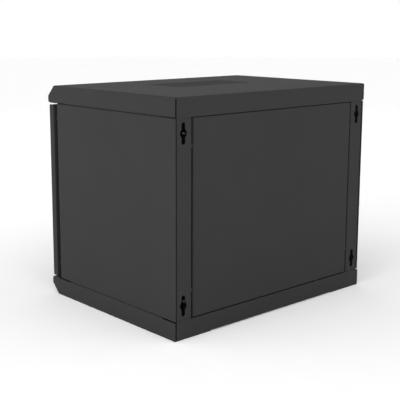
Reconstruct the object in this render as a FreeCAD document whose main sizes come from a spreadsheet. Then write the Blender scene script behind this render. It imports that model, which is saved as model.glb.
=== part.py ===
import FreeCAD, Part
import math
import os
import re
import Sketcher

# Wall-mount network cabinet, nine rack units, 600 x 450 footprint, in millimetres.
# X runs to the right of someone facing the door, Y from the door to the wall, Z up.
# The origin is the middle of the underside.
#
# Two folded covers, top and bottom, are held apart by four folded posts.  Side panels
# and a rear panel close the sides between them.  Depth bars join the front and rear
# posts and carry the four 19-inch rails.  A framed glass door hangs on a fixed pin
# below and a sprung pin above, and a cam lock catches behind the front post.

SIZES = {
    # whole cabinet
    "cabinet_width": 600,
    "cabinet_depth": 450,
    "cabinet_height": 500,
    "seat_clearance": 0.3,
    # top and bottom covers
    "cover_gauge": 1.5,
    "flange_height": 41,
    "front_chamfer": 22,
    "cover_bend": 3,
    "cover_roll": 5,
    "front_return": 24,
    "side_return": 16,
    "post_notch_gap": 4,
    "corner_seam": 3.3,
    "vent_width": 250,
    "vent_depth": 116,
    "vent_setback": 137,
    "vent_pitch": 28,
    "vent_hole": 19,
    "cable_slot_width": 400,
    "cable_slot_depth": 62,
    "cable_slot_rise": 2.5,
    # posts
    "post_gauge": 1.5,
    "post_width": 43.9,
    "post_leg": 38,
    "post_return": 15,
    "post_bend": 2,
    "post_tab_width": 28,
    "post_tab_depth": 30,
    "keyhole_end_inset": 72.5,
    "keyhole_length": 44.6,
    "keyhole_slot": 10.3,
    "keyhole_bore": 18.7,
    # side and rear panels
    "panel_gauge": 1,
    "panel_bend": 3,
    "panel_fold": 12,
    "side_panel_setback": 31.5,
    "rear_side_gap": 4,
    "rear_end_gap": 1.2,
    "rear_panel_fold": 12,
    "rear_panel_recess": 0.2,
    # depth bars and rails
    "bar_gauge": 1.5,
    "bar_height": 30,
    "bar_flange": 12,
    "bar_level": 75,
    "bar_end_gap": 2,
    "bar_slot_length": 100,
    "rack_end_room": 47.5,
    "unit_height": 44.45,
    "unit_first_hole": 6.35,
    "unit_hole_step": 15.875,
    "rack_opening_inset": 75,
    "rack_hole_inset": 67.45,
    "rack_hole": 9.5,
    "rail_gauge": 2,
    "rail_depth": 30,
    "rail_overrun": 4,
    "front_rail_setback": 75,
    "rail_spacing": 290,
    # door
    "door_set_in": 1,
    "door_side_gap": 1,
    "door_end_gap": 4,
    "door_thickness": 19,
    "door_gauge": 1.2,
    "door_bend": 3.5,
    "door_return": 10,
    "window_side_margin": 52,
    "window_end_margin": 30,
    "glass_thickness": 4,
    "glass_overlap": 9,
    "gasket_thickness": 1,
    "clip_width": 16,
    "clip_gauge": 1,
    "clip_foot": 13,
    "clip_tongue": 6,
    "clip_end_inset": 10,
    "bumper_diameter": 10,
    "bumper_inset": 10,
    # hinge
    "hinge_inset": 10,
    "hinge_depth": 8,
    "running_clearance": 0.05,
    "lower_pin_diameter": 8,
    "lower_pin_reach": 13,
    "bush_wall": 1.2,
    "bush_rim": 0.8,
    "bush_rim_thickness": 2,
    "washer_width": 4.5,
    "lower_pin_head": 2,
    "lower_pin_head_thickness": 2,
    "upper_pin_diameter": 6,
    "upper_pin_engagement": 4,
    "upper_pin_length": 56,
    "pin_handle_reach": 26,
    "pin_collar_diameter": 11,
    "pin_collar_thickness": 2,
    "pin_bracket_drop": 39,
    "pin_bracket_width": 20,
    "spring_wire": 1,
    # lock
    "lock_inset": 31,
    "lock_head_diameter": 24,
    "lock_barrel_diameter": 18,
    "lock_barrel_length": 19,
    "plug_diameter": 12,
    "key_slot_height": 8,
    "key_slot_width": 1.8,
    "key_slot_depth": 6,
    "lock_nut_flats": 22,
    "lock_nut_thickness": 5,
    "cam_width": 13,
    "cam_reach": 18,
    "cam_gauge": 2,
    "cam_gap": 0.5,
    "cam_tip_gap": 3,
    "keeper_height": 24,
    "keeper_gauge": 1.5,
    "keeper_lip": 11,
    "keeper_foot": 6,
    # fasteners
    "frame_bolt": 6,
    "frame_nut_flats": 10,
    "frame_nut_thickness": 5,
    "bolt_head_thickness": 4,
    "bolt_overrun": 3,
    "hole_allowance": 0.6,
    "stud_length": 15,
    "stud_inset": 20,
    "panel_screw": 5,
    "panel_screw_head": 9,
    "panel_screw_head_thickness": 3,
    "panel_screw_length": 12,
    "panel_screw_inset": 8,
    "side_screw_end_inset": 85,
    "rear_screw_end_inset": 100,
    "rear_screw_setback": 7.2,
    "rivet_nut_collar": 9.6,
    "rivet_nut_shank": 7,
    "rivet_nut_length": 10,
    "clip_stud": 4,
    "clip_nut_flats": 7,
    "clip_nut_thickness": 3,
    "earth_stud_length": 20,
    "earth_stud_inset": 70,
    "earth_washer_diameter": 14,
    "earth_washer_thickness": 1.5,
}

# Places that several pieces share, written from the sizes above.
FRONT = "(-cabinet_depth / 2)"
REAR = "(cabinet_depth / 2)"
SIDE = "(cabinet_width / 2)"
MIDDLE = "(cabinet_height / 2)"
CEILING = "(cabinet_height - cover_gauge)"
COVER_EDGE = "(cabinet_height - flange_height)"
SKIN = "(cabinet_width / 2 - cover_gauge - seat_clearance)"
POST_EDGE = f"({SKIN} - seat_clearance)"
POST_RIM = f"({SKIN} - panel_gauge - corner_seam)"
POST_INNER = f"({POST_EDGE} - post_width)"
POST_MIDDLE = f"({POST_EDGE} - post_width / 2)"
BAR_INNER = f"({POST_INNER} - bar_gauge)"
RAIL_INNER = f"({BAR_INNER} - rail_gauge)"
PANEL_FRONT = f"({FRONT} + side_panel_setback)"
FRONT_POST_FACE = f"({PANEL_FRONT} - seat_clearance - post_gauge)"
REAR_POST_FACE = f"({REAR} - cover_gauge)"
REAR_PANEL_FACE = f"({REAR} - rear_panel_recess)"
REAR_SCREW = f"({REAR_PANEL_FACE} - rear_screw_setback)"
FRONT_BOLT = f"({FRONT_POST_FACE} + post_leg / 2)"
REAR_BOLT = f"({REAR_POST_FACE} - post_leg / 2)"
FRONT_RAIL = f"({FRONT} + front_rail_setback)"
REAR_RAIL = f"({FRONT_RAIL} + rail_spacing)"
DOOR_FRONT = f"({FRONT} + door_set_in)"
DOOR_SKIN = f"({DOOR_FRONT} + door_gauge)"
DOOR_BACK = f"({DOOR_FRONT} + door_thickness)"
DOOR_EDGE = f"({SIDE} - door_side_gap)"
DOOR_LOW = "(flange_height + door_end_gap)"
DOOR_HIGH = f"(cabinet_height - {DOOR_LOW})"
WINDOW_SIDE = f"({DOOR_EDGE} - window_side_margin)"
WINDOW_HALF = f"({MIDDLE} - {DOOR_LOW} - window_end_margin)"
GLASS_FRONT = f"({DOOR_SKIN} + gasket_thickness)"
GLASS_BACK = f"({GLASS_FRONT} + glass_thickness)"
CLIP_SPACING = f"(2 * ({WINDOW_HALF} - clip_end_inset) / 3)"
HINGE_X = f"(hinge_inset - {DOOR_EDGE})"
HINGE_Y = f"({DOOR_BACK} - hinge_depth)"
LOCK_X = f"({DOOR_EDGE} - lock_inset)"
CAM_BACK = f"({FRONT_POST_FACE} - cam_gap - panel_screw_head_thickness)"
CAM_FACE = f"({CAM_BACK} - cam_gauge)"
PANEL_SCREW_X = f"({SKIN} - panel_screw_inset)"
SIDE_SCREW_PITCH = "(cabinet_depth / 2 - side_screw_end_inset)"
REAR_SCREW_SPACING = "(cabinet_height - 2 * rear_screw_end_inset)"
KEYHOLE_SPACING = "(cabinet_height - 2 * keyhole_end_inset)"
BAR_SPACING = "(cabinet_height - 2 * bar_level)"
RACK_UNITS = "floor((cabinet_height - 2 * rack_end_room) / unit_height)"
PIN_TOP = f"({COVER_EDGE} + upper_pin_engagement)"
PIN_BOTTOM = f"({PIN_TOP} - upper_pin_length)"
BRACKET_TOP = f"({DOOR_HIGH} - pin_bracket_drop)"
COLLAR_LOW = f"({DOOR_HIGH} - door_gauge - pin_collar_thickness)"

doc = FreeCAD.newDocument("wall_mount_network_cabinet")
dims = doc.addObject("Spreadsheet::Sheet", "dims")
for row, (alias, number) in enumerate(SIZES.items(), 1):
    dims.set(f"A{row}", alias)
    dims.set(f"B{row}", str(number))
    dims.setAlias(f"B{row}", alias)
doc.recompute()

pieces = []


# ---------------------------------------------------------------- modelling helpers
def formula(text):
    """Point each size named in the text at its spreadsheet cell."""
    return re.sub(r"[a-z][a-z_]+", lambda word: f"dims.{word[0]}" if word[0] in SIZES else word[0], text)


def value(text):
    return float(dims.evalExpression(formula(text)))


def bind(thing, prop, text):
    thing.setExpression(prop, formula(text))


def piece(name):
    """A new body, kept for export under its own name."""
    body = doc.addObject("PartDesign::Body", name)
    body.Label = name
    pieces.append(body)
    return body


def mirrored(source, name):
    """The same pressing made to the other hand, across the cabinet's middle."""
    twin = doc.addObject("Part::Mirroring", name)
    twin.Label = name
    twin.Source = source
    twin.Normal = (1, 0, 0)
    pieces.append(twin)
    return twin


def origin_part(body, role):
    return next(part for part in body.Origin.OriginFeatures if part.Role == role)


def pin_point(flat, edge, end, x, y):
    """Hold one point of a sketch at x, y from the sketch's origin."""
    for kind, text in (("DistanceX", x), ("DistanceY", y)):
        number = flat.addConstraint(Sketcher.Constraint(kind, edge, end, value(text)))
        bind(flat, f"Constraints[{number}]", text)


def polygon(*corners):
    """A closed outline of straight edges."""
    def draw(flat):
        first = flat.GeometryCount
        points = [FreeCAD.Vector(value(x), value(y), 0) for x, y in corners]
        count = len(points)
        for number in range(count):
            flat.addGeometry(Part.LineSegment(points[number], points[(number + 1) % count]), False)
        for number in range(count):
            joined = first + (number + 1) % count
            flat.addConstraint(Sketcher.Constraint("Coincident", first + number, 2, joined, 1))
        for number, (x, y) in enumerate(corners):
            pin_point(flat, first + number, 1, x, y)
    return draw


def rectangle(left, low, right, high):
    return polygon((left, low), (right, low), (right, high), (left, high))


def regular(x, y, across_flats, corners):
    """A regular outline round x, y, such as a hexagon for a nut."""
    radius = f"({across_flats}) / 2 / cos(180 / {corners})"
    turns = [(corner + 0.5) * 360 / corners for corner in range(corners)]
    return polygon(*[(f"{x} + {radius} * cos({turn})", f"{y} + {radius} * sin({turn})") for turn in turns])


def hexagon(x, y, across_flats):
    return regular(x, y, across_flats, 6)


def octagon(x, y, diameter):
    """A small round part or hole that nothing turns in, with eight flats to keep the mesh light."""
    return regular(x, y, diameter, 8)


def hidden_round(x, y, diameter):
    """A bolt's hidden shank or the hole that it fills, with six flats for the same reason."""
    return regular(x, y, diameter, 6)


def disc(x, y, diameter):
    def draw(flat):
        centre = FreeCAD.Vector(value(x), value(y), 0)
        circle = Part.Circle(centre, FreeCAD.Vector(0, 0, 1), value(diameter) / 2)
        edge = flat.addGeometry(circle, False)
        number = flat.addConstraint(Sketcher.Constraint("Diameter", edge, value(diameter)))
        bind(flat, f"Constraints[{number}]", diameter)
        pin_point(flat, edge, 3, x, y)
    return draw


def upright_slot(x, y, length, width):
    """An upright round-ended slot centred on x, y."""
    def draw(flat):
        half = f"(({length}) - ({width})) / 2"
        radius = value(width) / 2
        ends = []
        for sign, begin in ((1, 0), (-1, math.pi)):
            centre = FreeCAD.Vector(value(x), value(y) + sign * value(half), 0)
            circle = Part.Circle(centre, FreeCAD.Vector(0, 0, 1), radius)
            ends.append(flat.addGeometry(Part.ArcOfCircle(circle, begin, begin + math.pi), False))
        upper, lower = ends
        for tail, head in ((upper, lower), (lower, upper)):
            line = Part.LineSegment(flat.getPoint(tail, 2), flat.getPoint(head, 1))
            side = flat.addGeometry(line, False)
            flat.addConstraint(Sketcher.Constraint("Tangent", tail, 2, side, 1))
            flat.addConstraint(Sketcher.Constraint("Tangent", side, 2, head, 1))
        number = flat.addConstraint(Sketcher.Constraint("Radius", upper, radius))
        bind(flat, f"Constraints[{number}]", f"({width}) / 2")
        pin_point(flat, upper, 3, x, f"{y} + {half}")
        pin_point(flat, lower, 3, x, f"{y} - {half}")
    return draw


def sketch(body, name, plane, level, drawings):
    """A sketch on one of the body's own planes, moved along the plane's axis to a level."""
    flat = body.newObject("Sketcher::SketchObject", name)
    flat.AttachmentSupport = [(origin_part(body, f"{plane}_Plane"), "")]
    flat.MapMode = "FlatFace"
    # The XZ plane looks along -Y, so its level is turned to count along +Y.
    bind(flat, "AttachmentOffset.Base.z", f"-({level})" if plane == "XZ" else level)
    for draw in drawings:
        draw(flat)
    return flat


def extrude(kind, body, name, plane, low, high, drawings):
    """Add or cut a slab between two levels along the axis square to the plane."""
    flat = sketch(body, f"{name}_outline", plane, f"(({low}) + ({high})) / 2", drawings)
    feature = body.newObject(f"PartDesign::{kind}", name)
    feature.Profile = flat
    feature.SideType = "Symmetric"
    bind(feature, "Length", f"({high}) - ({low})")
    doc.recompute()
    return feature


def pad(body, name, plane, low, high, *drawings):
    return extrude("Pad", body, name, plane, low, high, drawings)


def pocket(body, name, plane, low, high, *drawings):
    feature = extrude("Pocket", body, name, plane, low, high, drawings)
    before = feature.BaseFeature.Shape.Volume
    if not feature.Shape.Volume < before - 1e-6:
        raise RuntimeError(f"{body.Label}: {name} cuts nothing")
    return feature


def fillet(body, name, radius, wanted):
    """Round the edges of the body's last feature whose box the test picks."""
    base = body.Tip
    edges = [f"Edge{number}" for number, edge in enumerate(base.Shape.Edges, 1) if wanted(edge.BoundBox)]
    feature = body.newObject("PartDesign::Fillet", name)
    feature.Base = (base, edges)
    bind(feature, "Radius", radius)
    doc.recompute()
    return feature


def near(first, second):
    return abs(first - second) < 0.01


def repeat(body, name, originals, steps=(), mirrors=()):
    """Copy features along axes, each step an (axis, spacing, count), and across planes."""
    feature = body.newObject("PartDesign::MultiTransform", name)
    feature.Originals = originals
    transforms = []
    for number, (axis, spacing, count) in enumerate(steps, 1):
        row = body.newObject("PartDesign::LinearPattern", f"{name}_{number}")
        row.Direction = (origin_part(body, f"{axis}_Axis"), [""])
        row.Mode = "Spacing"
        bind(row, "Offset", spacing)
        bind(row, "Occurrences", count)
        transforms.append(row)
    for plane in mirrors:
        twin = body.newObject("PartDesign::Mirrored", f"{name}_across_{plane}")
        twin.MirrorPlane = (origin_part(body, f"{plane}_Plane"), [""])
        transforms.append(twin)
    feature.Transformations = transforms
    body.Tip = feature
    doc.recompute()
    return feature


# ---------------------------------------------------------------- top and bottom covers
def cover(name):
    """A folded cover: bevelled front, flanges all round, and returns that face inwards."""
    body = piece(name)
    bevel_shift = "cover_gauge * tan(22.5)"
    bevel_low = "cabinet_height - front_chamfer"
    bevel_back = f"{FRONT} + front_chamfer"
    pad(body, "outer_form", "YZ", f"-{SIDE}", SIDE, polygon(
        (FRONT, COVER_EDGE), (FRONT, bevel_low), (bevel_back, "cabinet_height"),
        (REAR, "cabinet_height"), (REAR, COVER_EDGE)))
    edge = value(COVER_EDGE)
    fillet(body, "bend", "cover_bend",
           lambda box: box.ZMax > edge + 1 and not (near(box.XLength, 0) and near(box.YLength, 0)))
    rear_face = value(REAR)
    fillet(body, "edge_roll", "cover_roll", lambda box: near(box.ZMax, edge) and not near(box.YMin, rear_face))
    inner = f"{SIDE} - cover_gauge"
    pocket(body, "hollow", "YZ", f"-({inner})", inner, polygon(
        (f"{FRONT} + cover_gauge", f"{COVER_EDGE} + cover_gauge"),
        (f"{FRONT} + cover_gauge", f"{bevel_low} - {bevel_shift}"),
        (f"{bevel_back} + {bevel_shift}", CEILING),
        (f"{REAR} - cover_gauge", CEILING),
        (f"{REAR} - cover_gauge", f"{COVER_EDGE} + cover_gauge")))
    fold, rear_wall = value("cover_gauge") + edge, value(f"{REAR} - cover_gauge")
    fillet(body, "inner_edge_roll", "cover_roll - cover_gauge",
           lambda box: near(box.ZMin, fold) and near(box.ZMax, fold) and not near(box.YMin, rear_wall))
    narrow = f"{SIDE} - side_return"
    front_notch = f"{FRONT_POST_FACE} + post_leg + post_notch_gap"
    rear_notch = f"{REAR_POST_FACE} - post_leg - post_notch_gap"
    mouth_front = f"{FRONT} + front_return"
    pocket(body, "mouth", "XY", COVER_EDGE, f"{COVER_EDGE} + cover_gauge",
           rectangle(f"-({narrow})", mouth_front, narrow, REAR_POST_FACE))
    pocket(body, "post_notches", "XY", COVER_EDGE, f"{COVER_EDGE} + cover_roll",
           rectangle(f"-({inner})", mouth_front, inner, front_notch),
           rectangle(f"-({inner})", rear_notch, inner, REAR_POST_FACE))
    seam_top = "cabinet_height - cover_bend"
    pocket(body, "corner_seams", "XZ", REAR_POST_FACE, REAR,
           rectangle(f"{inner} - corner_seam", COVER_EDGE, inner, seam_top),
           rectangle(f"-({inner})", COVER_EDGE, f"corner_seam - ({inner})", seam_top))
    holes = pocket(body, "side_screw_holes", "XY", COVER_EDGE, f"{COVER_EDGE} + cover_gauge",
                   hidden_round(PANEL_SCREW_X, f"-{SIDE_SCREW_PITCH}", "panel_screw + hole_allowance"))
    repeat(body, "side_screw_hole_rows", [holes], [("Y", SIDE_SCREW_PITCH, "3")], ["YZ"])
    return body


def hinge_hole(body, outline):
    pocket(body, "hinge_hole", "XY", COVER_EDGE, f"{COVER_EDGE} + cover_gauge", outline)


def top_cover():
    body = cover("top_cover")
    hinge_hole(body, disc(HINGE_X, HINGE_Y, "upper_pin_diameter + 2 * running_clearance"))
    row_pitch = "vent_pitch * cos(30)"
    columns = "floor(vent_width / vent_pitch)"
    row_pairs = f"floor(vent_depth / (2 * {row_pitch}))"
    left = f"-vent_pitch * ({columns} - 0.5) / 2"
    front = f"{FRONT} + vent_setback + (vent_depth - {row_pitch} * (2 * {row_pairs} - 1)) / 2"
    holes = pocket(body, "vent_holes", "XY", CEILING, "cabinet_height",
                   hexagon(left, front, "vent_hole"),
                   hexagon(f"{left} + vent_pitch / 2", f"{front} + {row_pitch}", "vent_hole"))
    repeat(body, "vent_field", [holes],
           [("X", "vent_pitch", columns), ("Y", f"2 * {row_pitch}", row_pairs)])


def bottom_cover():
    """The same pressing as the top cover turned over, with the cable entry at its rear edge."""
    body = cover("bottom_cover")
    hinge_hole(body, octagon(f"-{HINGE_X}", HINGE_Y, "lower_pin_diameter"))
    half_slot = "cable_slot_width / 2"
    pocket(body, "cable_entry", "XY", CEILING, "cabinet_height",
           rectangle(f"-{half_slot}", f"{REAR} - cable_slot_depth", half_slot, REAR))
    pocket(body, "cable_entry_lip", "XZ", REAR_POST_FACE, REAR,
           rectangle(f"-{half_slot}", "cabinet_height - cable_slot_rise", half_slot, "cabinet_height"))
    body.Placement = FreeCAD.Placement(FreeCAD.Vector(), FreeCAD.Rotation(FreeCAD.Vector(0, 1, 0), 180))
    bind(body, "Placement.Base.z", "cabinet_height")


# ---------------------------------------------------------------- posts
def post(name, face, inward):
    """A folded channel: face, leg and inner return, with an end tab bolted to each cover."""
    body = piece(name)

    def depth(distance):
        return f"({face} {inward} ({distance}))"

    web = f"{POST_INNER} + post_gauge"
    fold = f"{POST_INNER} + post_return"
    pad(body, "channel", "XY", "cover_gauge", CEILING, polygon(
        (POST_INNER, depth("0")), (POST_RIM, depth("0")),
        (POST_RIM, depth("post_gauge")), (web, depth("post_gauge")),
        (web, depth("post_leg - post_gauge")), (fold, depth("post_leg - post_gauge")),
        (fold, depth("post_leg")), (POST_INNER, depth("post_leg"))))
    inner, outer, far = value(POST_INNER), value(face), value(depth("post_leg"))
    fillet(body, "bends", "post_bend", lambda box: near(box.XLength, 0) and near(box.YLength, 0)
           and near(box.XMin, inner) and (near(box.YMin, outer) or near(box.YMin, far)))
    tab_left = f"{POST_MIDDLE} - post_tab_width / 2"
    tab_right = f"{POST_MIDDLE} + post_tab_width / 2"
    tab_ends = sorted((depth("post_gauge / 2"), depth("post_tab_depth")), key=value)
    tab = rectangle(tab_left, tab_ends[0], tab_right, tab_ends[1])
    stud_hole = hidden_round(POST_MIDDLE, depth("stud_inset"), "frame_bolt + hole_allowance")
    pad(body, "lower_tab", "XY", "cover_gauge", "cover_gauge + post_gauge", tab, stud_hole)
    pad(body, "upper_tab", "XY", f"{CEILING} - post_gauge", CEILING, tab, stud_hole)
    holes = pocket(body, "bar_holes", "YZ", POST_INNER, web,
                   hidden_round(depth("post_leg / 2"), "bar_level", "frame_bolt + hole_allowance"))
    repeat(body, "bar_hole_pair", [holes], [("Z", BAR_SPACING, "2")])
    return body


def front_posts():
    mirrored(post("front_post_right", FRONT_POST_FACE, "+"), "front_post_left")


def rear_posts():
    """The wall-side posts, each with two double-ended keyholes for the wall screws."""
    right = post("rear_post_right", REAR_POST_FACE, "-")
    skin = (f"{REAR_POST_FACE} - post_gauge", REAR_POST_FACE)
    slots = pocket(right, "keyhole_slots", "XZ", *skin, upright_slot(
        POST_MIDDLE, "keyhole_end_inset", "keyhole_length", "keyhole_slot"))
    repeat(right, "keyhole_slot_pair", [slots], [("Z", KEYHOLE_SPACING, "2")])
    bores = pocket(right, "keyhole_bores", "XZ", *skin,
                   disc(POST_MIDDLE, "keyhole_end_inset", "keyhole_bore"))
    repeat(right, "keyhole_bore_pair", [bores], [("Z", KEYHOLE_SPACING, "2")])
    holes = pocket(right, "rivet_nut_holes", "YZ", POST_INNER, f"{POST_INNER} + post_gauge",
                   hidden_round(REAR_SCREW, "rear_screw_end_inset", "rivet_nut_shank"))
    repeat(right, "rivet_nut_hole_pair", [holes], [("Z", REAR_SCREW_SPACING, "2")])
    mirrored(right, "rear_post_left")


# ---------------------------------------------------------------- side and rear panels
def side_panels():
    """A shallow pan folded at its top, bottom and front, whose plain rear edge runs past the post."""
    body = piece("side_panel_right")
    fold_end = f"{REAR_POST_FACE} - post_gauge - seat_clearance"
    inner = f"{SKIN} - panel_fold"
    pad(body, "pan", "YZ", inner, SKIN, rectangle(PANEL_FRONT, "flange_height", REAR_PANEL_FACE, COVER_EDGE))
    skin, rear = value(SKIN), value(REAR_PANEL_FACE)
    fillet(body, "bend", "panel_bend", lambda box: near(box.XMin, skin) and near(box.XMax, skin)
           and not near(box.YMin, rear))
    pocket(body, "hollow", "YZ", inner, f"{SKIN} - panel_gauge", polygon(
        (f"{PANEL_FRONT} + panel_gauge", "flange_height + panel_gauge"),
        (fold_end, "flange_height + panel_gauge"), (fold_end, "flange_height"),
        (REAR_PANEL_FACE, "flange_height"), (REAR_PANEL_FACE, COVER_EDGE), (fold_end, COVER_EDGE),
        (fold_end, f"{COVER_EDGE} - panel_gauge"), (f"{PANEL_FRONT} + panel_gauge", f"{COVER_EDGE} - panel_gauge")))
    lower = pocket(body, "lower_screw_holes", "XY", "flange_height", "flange_height + panel_gauge",
                   hidden_round(PANEL_SCREW_X, f"-{SIDE_SCREW_PITCH}", "panel_screw + 2 * running_clearance"))
    upper = pocket(body, "upper_screw_holes", "XY", f"{COVER_EDGE} - panel_gauge", COVER_EDGE,
                   hidden_round(PANEL_SCREW_X, f"-{SIDE_SCREW_PITCH}", "panel_screw + 2 * running_clearance"))
    repeat(body, "screw_hole_rows", [lower, upper], [("Y", SIDE_SCREW_PITCH, "3")])
    mirrored(body, "side_panel_left")


def rear_panel():
    """The inset pan between the rear posts, screwed through its folded sides from inside."""
    body = piece("rear_panel")
    half = f"({POST_INNER} - rear_side_gap)"
    low = "flange_height + rear_end_gap"
    high = f"{COVER_EDGE} - rear_end_gap"
    back = f"{REAR_PANEL_FACE} - rear_panel_fold"
    pad(body, "pan", "XZ", back, REAR_PANEL_FACE, rectangle(f"-{half}", low, half, high))
    outer = value(REAR_PANEL_FACE)
    fillet(body, "bend", "panel_bend", lambda box: near(box.YMin, outer) and near(box.YMax, outer))
    pocket(body, "hollow", "XZ", back, f"{REAR_PANEL_FACE} - panel_gauge", rectangle(
        f"panel_gauge - {half}", f"{low} + panel_gauge", f"{half} - panel_gauge", f"{high} - panel_gauge"))
    holes = pocket(body, "screw_holes", "YZ", f"{half} - panel_gauge", half,
                   hidden_round(REAR_SCREW, "rear_screw_end_inset", "panel_screw + 2 * running_clearance"))
    repeat(body, "screw_hole_set", [holes], [("Z", REAR_SCREW_SPACING, "2")], ["YZ"])


# ---------------------------------------------------------------- depth bars and rails
def depth_bar(name, level):
    """A slotted bar bolted to the legs of a front and a rear post, flanged between them."""
    body = piece(name)
    low, high = f"{level} - bar_height / 2", f"{level} + bar_height / 2"
    start = f"{FRONT_POST_FACE} + post_gauge + bar_end_gap"
    end = f"{REAR_POST_FACE} - post_gauge - bar_end_gap"
    pad(body, "web", "YZ", BAR_INNER, POST_INNER, rectangle(start, low, end, high))
    flange_front = f"{FRONT_POST_FACE} + post_leg + bar_end_gap"
    flange_rear = f"{REAR_POST_FACE} - post_leg - bar_end_gap"
    flange = rectangle(f"{POST_INNER} - bar_gauge / 2", flange_front,
                       f"{POST_INNER} + bar_flange", flange_rear)
    pad(body, "lower_flange", "XY", low, f"{low} + bar_gauge", flange)
    pad(body, "upper_flange", "XY", f"{high} - bar_gauge", high, flange)
    pocket(body, "bolt_holes", "YZ", BAR_INNER, POST_INNER,
           hidden_round(FRONT_BOLT, level, "frame_bolt + hole_allowance"),
           hidden_round(REAR_BOLT, level, "frame_bolt + hole_allowance"))
    # The slots are as high as the bolt's six-sided hole is from corner to corner.
    slot_low, slot_high = (f"{level} {sign} (frame_bolt + hole_allowance) / 2 / cos(30)" for sign in "-+")
    pocket(body, "rail_slots", "YZ", BAR_INNER, POST_INNER,
           rectangle(FRONT_RAIL, slot_low, f"{FRONT_RAIL} + bar_slot_length", slot_high),
           rectangle(f"{REAR_RAIL} - bar_slot_length", slot_low, REAR_RAIL, slot_high))
    return body


def rail(name, face, inward):
    """A 19-inch rail: an angle with three square holes in each rack unit."""
    body = piece(name)

    def depth(distance):
        return f"({face} {inward} ({distance}))"

    half = f"{RACK_UNITS} * unit_height / 2"
    low, high = f"{MIDDLE} - {half}", f"{MIDDLE} + {half}"
    opening = f"({SIDE} - rack_opening_inset)"
    pad(body, "angle", "XY", f"{low} - rail_overrun", f"{high} + rail_overrun", polygon(
        (opening, depth("0")), (BAR_INNER, depth("0")), (BAR_INNER, depth("rail_depth")),
        (RAIL_INNER, depth("rail_depth")), (RAIL_INNER, depth("rail_gauge")),
        (opening, depth("rail_gauge"))))
    skin = sorted((depth("0"), depth("rail_gauge")), key=value)
    left, right = (f"{SIDE} - rack_hole_inset {sign} rack_hole / 2" for sign in "-+")
    heights = [f"{low} + unit_first_hole + {step} * unit_hole_step" for step in range(3)]
    holes = pocket(body, "unit_holes", "XZ", *skin, *[
        rectangle(left, f"{height} - rack_hole / 2", right, f"{height} + rack_hole / 2")
        for height in heights])
    repeat(body, "rack_holes", [holes], [("Z", "unit_height", RACK_UNITS)])
    bolts = pocket(body, "bolt_holes", "YZ", RAIL_INNER, BAR_INNER,
                   hidden_round(depth("rail_depth / 2"), "bar_level", "frame_bolt + hole_allowance"))
    repeat(body, "bolt_hole_pair", [bolts], [("Z", BAR_SPACING, "2")])
    return body


def bars_and_rails():
    mirrored(depth_bar("depth_bar_lower_right", "bar_level"), "depth_bar_lower_left")
    mirrored(depth_bar("depth_bar_upper_right", "(cabinet_height - bar_level)"), "depth_bar_upper_left")
    mirrored(rail("front_rail_right", FRONT_RAIL, "+"), "front_rail_left")
    mirrored(rail("rear_rail_right", REAR_RAIL, "-"), "rear_rail_left")


# ---------------------------------------------------------------- door
def door_frame():
    """A folded door: rounded front edges, a glazed opening and returns round its back."""
    body = piece("door_frame")
    pad(body, "slab", "XZ", DOOR_FRONT, DOOR_BACK, rectangle(f"-{DOOR_EDGE}", DOOR_LOW, DOOR_EDGE, DOOR_HIGH))
    inner_side, inner_low = f"({DOOR_EDGE} - door_gauge)", f"({DOOR_LOW} + door_gauge)"
    pocket(body, "hollow", "XZ", DOOR_SKIN, f"{DOOR_BACK} - door_gauge", rectangle(
        f"-{inner_side}", inner_low, inner_side, f"{DOOR_HIGH} - door_gauge"))
    pocket(body, "rear_mouth", "XZ", f"{DOOR_BACK} - door_gauge", DOOR_BACK, rectangle(
        f"door_return - {DOOR_EDGE}", f"{DOOR_LOW} + door_return",
        f"{DOOR_EDGE} - door_return", f"{DOOR_HIGH} - door_return"))
    skin = value(DOOR_SKIN)
    fillet(body, "inner_bend", "door_bend - door_gauge",
           lambda box: near(box.YMin, skin) and near(box.YMax, skin))
    face = value(DOOR_FRONT)
    fillet(body, "bend", "door_bend", lambda box: near(box.YMin, face) and near(box.YMax, face))
    pocket(body, "window", "XZ", DOOR_FRONT, DOOR_SKIN, rectangle(
        f"-{WINDOW_SIDE}", f"{MIDDLE} - {WINDOW_HALF}", WINDOW_SIDE, f"{MIDDLE} + {WINDOW_HALF}"))
    pocket(body, "lock_hole", "XZ", DOOR_FRONT, DOOR_SKIN,
           octagon(LOCK_X, MIDDLE, "lock_barrel_diameter + 2 * running_clearance"))
    pocket(body, "bush_hole", "XY", DOOR_LOW, f"{DOOR_LOW} + door_gauge",
           octagon(HINGE_X, HINGE_Y, "lower_pin_diameter + 2 * bush_wall"))
    pocket(body, "sprung_pin_hole", "XY", f"{DOOR_HIGH} - door_gauge", DOOR_HIGH,
           octagon(HINGE_X, HINGE_Y, "upper_pin_diameter + 2 * running_clearance"))


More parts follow.
